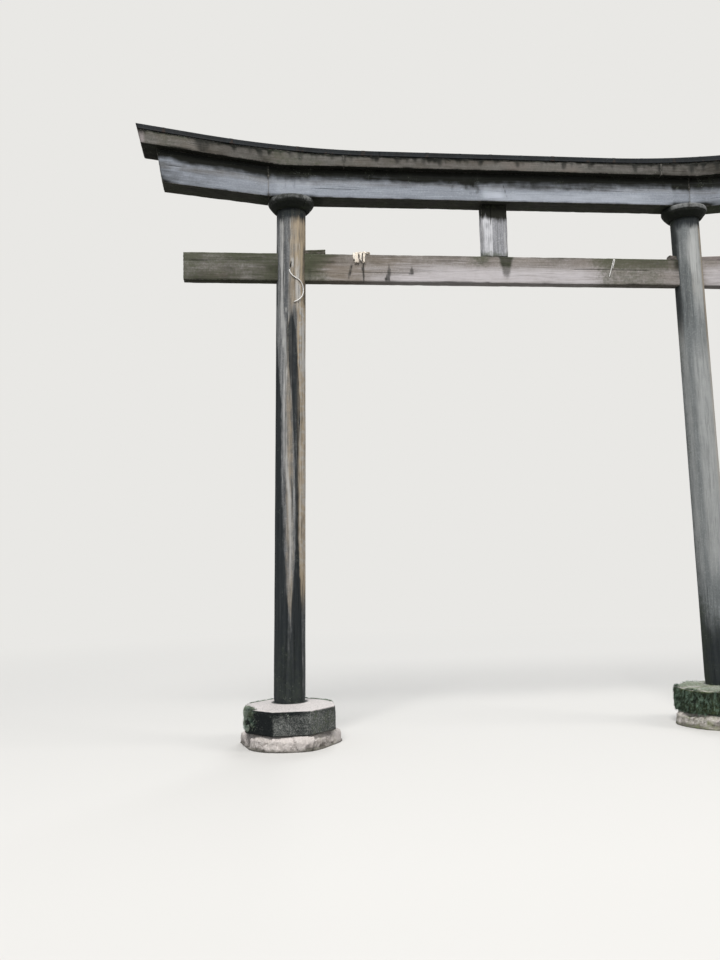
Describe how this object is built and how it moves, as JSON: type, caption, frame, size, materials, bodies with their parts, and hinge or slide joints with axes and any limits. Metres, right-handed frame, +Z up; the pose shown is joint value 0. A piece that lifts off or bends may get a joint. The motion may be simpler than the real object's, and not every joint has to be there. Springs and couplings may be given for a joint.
{
  "type": "torii gate",
  "caption": "Weathered timber shrine gateway: leaning round posts on stone plinths, a wedged tie beam with a strut, and a swept lintel under a thin sheet-covered roof.",
  "frame": {"origin": "midway between the posts, at the underside of the mortar beds", "axes": "+X along the gate to the right seen from the front, -Y is the front, +Z up"},
  "size_m": [5.018, 0.668, 4.2393],
  "materials": {
    "mortar": "rough pale lime mortar with moss",
    "plinth_stone": "dark weathered granite, pale worn top, moss",
    "post_timber": "bare weathered wood, grey with drying cracks",
    "ring_timber": "bare wood, dark with algae",
    "tie_timber": "bare weathered wood, brown grey with algae",
    "strut_timber": "bare weathered wood, pale grey",
    "wedge_timber": "bare weathered wood, dark green grey",
    "lower_lintel_timber": "bare weathered wood, silver grey, dark upper strip",
    "upper_lintel_timber": "bare weathered wood, brown grey with drip stains",
    "roof_sheet": "old painted sheet over boards, dull and stained",
    "string": "old white twisted string, frayed and grimy",
    "straw": "dry pale straw, frayed"
  },
  "bodies": {
    "root": {"left_mortar_bed": "mortar", "right_mortar_bed": "mortar", "left_plinth": "plinth_stone", "right_plinth": "plinth_stone", "left_post": "post_timber", "right_post": "post_timber", "left_capital_ring": "ring_timber", "right_capital_ring": "ring_timber", "tie_beam": "tie_timber", "centre_strut": "strut_timber", "left_inner_wedge": "wedge_timber", "right_inner_wedge": "wedge_timber", "right_outer_wedge": "wedge_timber", "lower_lintel_left": "lower_lintel_timber", "lower_lintel_middle": "lower_lintel_timber", "lower_lintel_right": "lower_lintel_timber", "upper_lintel_left": "upper_lintel_timber", "upper_lintel_middle": "upper_lintel_timber", "upper_lintel_right": "upper_lintel_timber", "roof_front_left": "roof_sheet", "roof_front_middle": "roof_sheet", "roof_front_right": "roof_sheet", "roof_back_left": "roof_sheet", "roof_back_middle": "roof_sheet", "roof_back_right": "roof_sheet", "ridge_left": "roof_sheet", "ridge_middle": "roof_sheet", "ridge_right": "roof_sheet", "post_string": "string", "beam_string": "string", "straw_wisp": "straw"}
  },
  "joints": []
}
